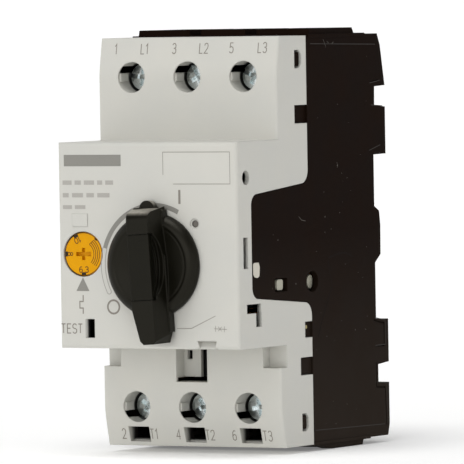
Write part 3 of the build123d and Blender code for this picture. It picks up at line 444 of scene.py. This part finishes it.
# plain bars where a maker would print a name and ratings
sheet("plain_bars_name", [box2(-20.9, 17.3, -6.5, 19.8)], front_face, "band")
dash, x = [], -21.3
for wd in (2.3, 1.6, 2.6, 1.3, 2.0):
    dash.append(box2(x, 13.25, x + wd, 14.2))
    x += wd + 0.75
x = -21.3
for wd in (1.5, 2.8, 1.9, 3.1):
    dash.append(box2(x, 10.5, x + wd, 11.45))
    x += wd + 0.85
dash += [box2(-21.3, 7.95, -19.0, 8.8), box2(-18.3, 7.95, -15.6, 8.8)]
sheet("plain_bars_rating", dash, front_face, "print_soft")

# terminal marks
for txt, x in (("1", -18.4), ("L1", -11.15), ("3", -3.6), ("L2", 3.85), ("5", 10.85), ("L3", 18.55)):
    sheet("mark_" + txt, stroke_text(txt, x, 42.57 - 1.1, 2.2, 0.95, 0.34, 0.21), upper_face, "print")
for txt, x in (("2", -18.1), ("T1", -10.5), ("4", -4.3), ("T2", 3.75), ("6", 9.85), ("T3", 18.2)):
    sheet("mark_" + txt, stroke_text(txt, x, -42.38 - 1.1, 2.2, 0.95, 0.34, 0.21), lower_face, "print")

# dial scale: three values, each with a pointer block on the rim, and four travel arcs on the right
dial_polys = []
for txt, ang in (("6.3", 180.0), ("8", -90.0), ("10", -26.0)):
    dial_polys += stroke_text(txt, 0.0, -4.02, 1.25, 0.78, 0.22, 0.19, turn=ang - 180.0, pivot=(0.0, 0.0))
for r in (2.6, 3.07, 3.54, 4.0):
    a0 = {2.6: 34, 3.07: 36, 3.54: 38, 4.0: 41}[r]
    dial_polys += line(arc(0, 0, r, a0, 136 - (r - 2.6) * 3.5, 36), 0.16)
dial_polys += line([(2.6 * math.sin(math.radians(34)), 2.6 * math.cos(math.radians(34))),
                    (4.0 * math.sin(math.radians(41)), 4.0 * math.cos(math.radians(41)))], 0.11)
dial_polys += line(arc(0, 0, 4.62, 0, 360, 96)[:-1], 0.12, True)
sheet("dial_scale", dial_polys, dial_face, "dial_mark", "dial")
ptr = []
for ang in (180.0, -90.0, -26.0, 44.0):
    t = math.radians(ang)
    hw, r0_, r1_ = (0.55, 4.02, 4.62) if ang != 44.0 else (0.35, 4.3, 4.62)
    ptr.append([(math.sin(t) * r + math.cos(t) * s_ * hw, math.cos(t) * r - math.sin(t) * s_ * hw)
                for r, s_ in ((r0_, -1), (r0_, 1), (r1_, 1), (r1_, -1))])
sheet("dial_pointers", ptr, dial_face, "dial_black", "dial")

# ---------------------------------------------------------------------------
# small moulded details: guide ribs in the screw tubes, side tab; rim lines and relief as painted highlight strips
# ---------------------------------------------------------------------------


def solid(name, mat, body="housing", bevel=0.0):
    me = bpy.data.meshes.new(name)
    me.materials.append(M[mat])
    ob = bpy.data.objects.new(name, me)
    scene.collection.objects.link(ob)
    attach(ob, body)
    return ob


def prism(name, outline, place_a, place_b, mat, body="housing", soft=0.0):
    """A closed prism between two placed copies of an outline; soft rounds its edges."""
    bm = bmesh.new()
    a = [bm.verts.new(place_a(*p)) for p in outline]
    b = [bm.verts.new(place_b(*p)) for p in outline]
    n = len(outline)
    bm.faces.new(a)
    bm.faces.new(b[::-1])
    for i in range(n):
        j = (i + 1) % n
        bm.faces.new((a[j], a[i], b[i], b[j]))
    bmesh.ops.recalc_face_normals(bm, faces=bm.faces)
    if soft:
        bmesh.ops.bevel(bm, geom=list(bm.edges), offset=soft * MM, segments=2, affect="EDGES", profile=0.5)
    ob = solid(name, mat, body)
    bm.to_mesh(ob.data)
    bm.free()
    return ob


def at_x(x):
    return lambda y, z: (x * MM, y * MM, z * MM)


def at_y(y):
    return lambda x, z: (x * MM, y * MM, z * MM)


# flat guide rib on the left wall of every screw tube
for i, px in enumerate((-14.1, 0.0, 14.1)):
    for tag, zc in (("up", 36.3), ("low", -36.3)):
        prism("guide_rib_%s_%d" % (tag, i + 1), [(px - 3.45, zc - 0.92), (px - 2.98, zc - 0.92), (px - 2.98, zc + 0.92),
              (px - 3.45, zc + 0.92)], at_y(-43.35), at_y(-40.1), "cover")

# lockable tab let into the base beside the cover, on the right side
prism("side_tab", [(-55.9, -6.45), (-55.3, -7.1), (-54.0, -7.3), (-53.25, -6.9), (-53.05, -4.9), (-53.5, -3.95),
                   (-55.5, -3.95), (-55.9, -4.35)], at_x(22.35), at_x(22.62), "tab", soft=0.07)
prism("notch_dot", [(-31.75 + 0.42 * math.cos(a * math.pi / 6), -19.0 + 0.42 * math.sin(a * math.pi / 6))
                    for a in range(12)], at_x(21.9), at_x(22.12), "brass")

# thin strips painted lighter as highlights where the rims along the rear blocks and the top end of the base catch light
def side_strip(name, paths, w, mat):
    for tag, x in (("right", 22.5 + 0.02), ("left", -22.5 - 0.02)):
        polys = []
        for pth in paths:
            polys += line(pth, w)
        if x < 0:
            polys = [p[::-1] for p in polys]
        verts, faces = [], []
        for p in polys:
            area = sum(a[0] * b[1] - b[0] * a[1] for a, b in zip(p, p[1:] + p[:1]))
            q = p if (area > 0) == (x > 0) else p[::-1]
            faces.append(list(range(len(verts), len(verts) + len(q))))
            verts += [(x * MM, c[0] * MM, c[1] * MM) for c in q]
        ob = solid(name + "_" + tag, mat)
        ob.data.from_pydata(verts, [], faces)
        ob.data.update()


# floor of the small dimple beside the handle, painted dark grey as the shade inside it
dimple = solid("dimple_floor", "dust")
dimple.data.from_pydata([((11.74 + 0.79 * math.cos(i * math.pi / 12)) * MM, -61.6 * MM,
                          (4.73 + 0.79 * math.sin(i * math.pi / 12)) * MM) for i in range(24)], [], [list(range(24))])
dimple.data.update()

side_strip("rim_lines", [[(-28.7, 43.15), (1.5, 42.6)], [(-1.4, 34.0), (3.4, 34.5)], [(-0.9, 29.1), (4.5, 28.8)],
                         [(-1.95, 19.0), (3.2, 20.1)], [(-0.5, -18.4), (4.2, -19.15), (4.3, -24.6), (-0.5, -24.65)],
                         [(-0.2, -32.75), (4.55, -33.3), (4.85, -42.3)], [(-28.9, -41.9), (3.3, -42.4)]],
           0.16, "rim")
# painted sheen: lighter strips where a faint relief runs across the black sides
side_strip("relief_lines", [[(-21.8, -4.2), (-17.0, -3.4), (-13.9, -3.35), (-10.7, -4.3)],
                            [(-21.8, -4.6), (-21.4, -7.5), (-20.1, -10.5), (-22.4, -13.6), (-25.0, -17.6),
                             (-27.0, -21.4)]], 0.4, "relief")

# dust specks and two short scuffs on the black sides
rng = random.Random(11)
dust = [(-16.9, 16.1), (-23.0, 4.9), (-46.7, 1.8), (-44.6, 0.6), (-14.0, -5.9), (-36.8, -9.3), (-4.2, -17.9),
        (-47.4, -9.9), (-9.8, -20.7), (-5.0, -20.8), (-19.5, -41.0), (-20.3, 2.1), (-12.5, 13.2), (-23.4, 10.4)]
for _ in range(26):
    dust.append((rng.uniform(-28.0, -2.0), rng.uniform(-42.0, 43.0)))
for tag, sx in (("right", 1), ("left", -1)):
    verts, faces = [], []
    for i, (y, z) in enumerate(dust):
        r = (0.10 if i < 14 else 0.065) * rng.uniform(0.7, 1.25)
        st = rng.uniform(1.0, 1.7)
        k = len(verts)
        for a in range(6):
            t = a * math.pi / 3
            verts.append((sx * 22.518 * MM, (y + r * math.cos(t) * sx) * MM, (z + r * st * math.sin(t)) * MM))
        faces.append(list(range(k, k + 6)))
    ob = solid("dust_" + tag, "dust")
    ob.data.from_pydata(verts, [], faces)
    ob.data.update()
side_strip("scuffs", [[(-22.6, 44.0), (-21.4, 42.3)], [(-20.9, 43.6), (-20.2, 43.2)], [(-19.0, 42.9), (-17.8, 43.4)],
                      [(-17.2, 16.8), (-16.9, 15.6)], [(-35.1, 5.4), (-33.9, 4.6), (-32.0, 4.3)]], 0.07, "dust")

# ---------------------------------------------------------------------------
# camera, light, floor
# ---------------------------------------------------------------------------
YAW, PITCH, ROLL = math.radians(29.4676), math.radians(1.98318), math.radians(-0.949427)
DIST, FPIX = 1.638168, 7402.04
cp, sp = math.cos(PITCH), math.sin(PITCH)
cy, sy = math.cos(YAW), math.sin(YAW)
cr, sr = math.cos(ROLL), math.sin(ROLL)
r0 = Vector((cy, sy, 0))
fwd = Vector((-sy * cp, cy * cp, -sp))
up0 = Vector((-sy * sp, cy * sp, cp))
right = r0 * cr + up0 * sr
upv = up0 * cr - r0 * sr
cam_data = bpy.data.cameras.new("camera")
cam = bpy.data.objects.new("camera", cam_data)
scene.collection.objects.link(cam)
cam_data.sensor_width = 36.0
cam_data.lens = FPIX / 464.0 * 36.0
cam_data.shift_x = 9.4795 / 464.0
cam_data.shift_y = 7.8324 / 464.0
cam_data.clip_start, cam_data.clip_end = 0.05, 200.0
loc = Vector((0, -0.0293, 0)) - fwd * DIST
rot = Matrix((right, upv, -fwd)).transposed()
cam.matrix_world = Matrix.Translation(loc) @ rot.to_4x4()
scene.camera = cam

# a plain studio: even room light, a bright band at the horizon that carries on the floor, and three soft lights
world = bpy.data.worlds.new("studio")
world.use_nodes = True
wt = world.node_tree
bg = wt.nodes["Background"]
bg.inputs[0].default_value = (1.0, 1.0, 1.0, 1.0)
wc = wt.nodes.new("ShaderNodeTexCoord")
wx = wt.nodes.new("ShaderNodeSeparateXYZ")
wr = wt.nodes.new("ShaderNodeMapRange")
wr.interpolation_type = "SMOOTHSTEP"
wr.inputs["From Min"].default_value = 0.30
wr.inputs["From Max"].default_value = 0.55
wr.inputs["To Min"].default_value = 1.06
wr.inputs["To Max"].default_value = 0.25
wt.links.new(wc.outputs["Generated"], wx.inputs[0])
wt.links.new(wx.outputs["Z"], wr.inputs["Value"])
# a little less light from the right than from the left
wf = wt.nodes.new("ShaderNodeMath")
wf.operation = "MULTIPLY_ADD"
wf.inputs[1].default_value = -0.15
wf.inputs[2].default_value = 1.0
wm = wt.nodes.new("ShaderNodeMath")
wm.operation = "MULTIPLY"
wt.links.new(wx.outputs["X"], wf.inputs[0])
wt.links.new(wr.outputs["Result"], wm.inputs[0])
wt.links.new(wf.outputs[0], wm.inputs[1])
wt.links.new(wm.outputs[0], bg.inputs[1])
scene.world = world
scene.view_settings.view_transform = "Standard"


def sun(name, direction, angle, energy):
    """A soft light as wide as angle degrees, shining from direction."""
    l = bpy.data.lights.new(name, "SUN")
    l.angle = math.radians(angle)
    l.energy = energy
    o = bpy.data.objects.new(name, l)
    scene.collection.objects.link(o)
    o.rotation_euler = (-Vector(direction)).to_track_quat("-Z", "Y").to_euler()
    return o


sun("front", (0.1, -1.0, 0.25), 45, 0.42)
sun("side", (1.0, -0.25, 0.4), 45, 0.03)
sun("top", (0.0, -0.35, 1.0), 40, 1.5)

FLOOR_Z = CAD_LO.z
bm = bmesh.new()
bmesh.ops.create_grid(bm, x_segments=2, y_segments=2, size=80.0)
me = bpy.data.meshes.new("floor")
bm.to_mesh(me)
bm.free()
floor = bpy.data.objects.new("floor", me)
floor.location = (0, 0, FLOOR_Z - 0.00002)
scene.collection.objects.link(floor)
fm, fnt, fb = principled("floor_white")
fb.inputs["Base Color"].default_value = (0.97, 0.97, 0.965, 1)
fb.inputs["Roughness"].default_value = 0.9
fb.inputs["Specular IOR Level"].default_value = 0.1
fb.inputs["Emission Color"].default_value = (1, 1, 1, 1)
fb.inputs["Emission Strength"].default_value = 0.17
me.materials.append(fm)
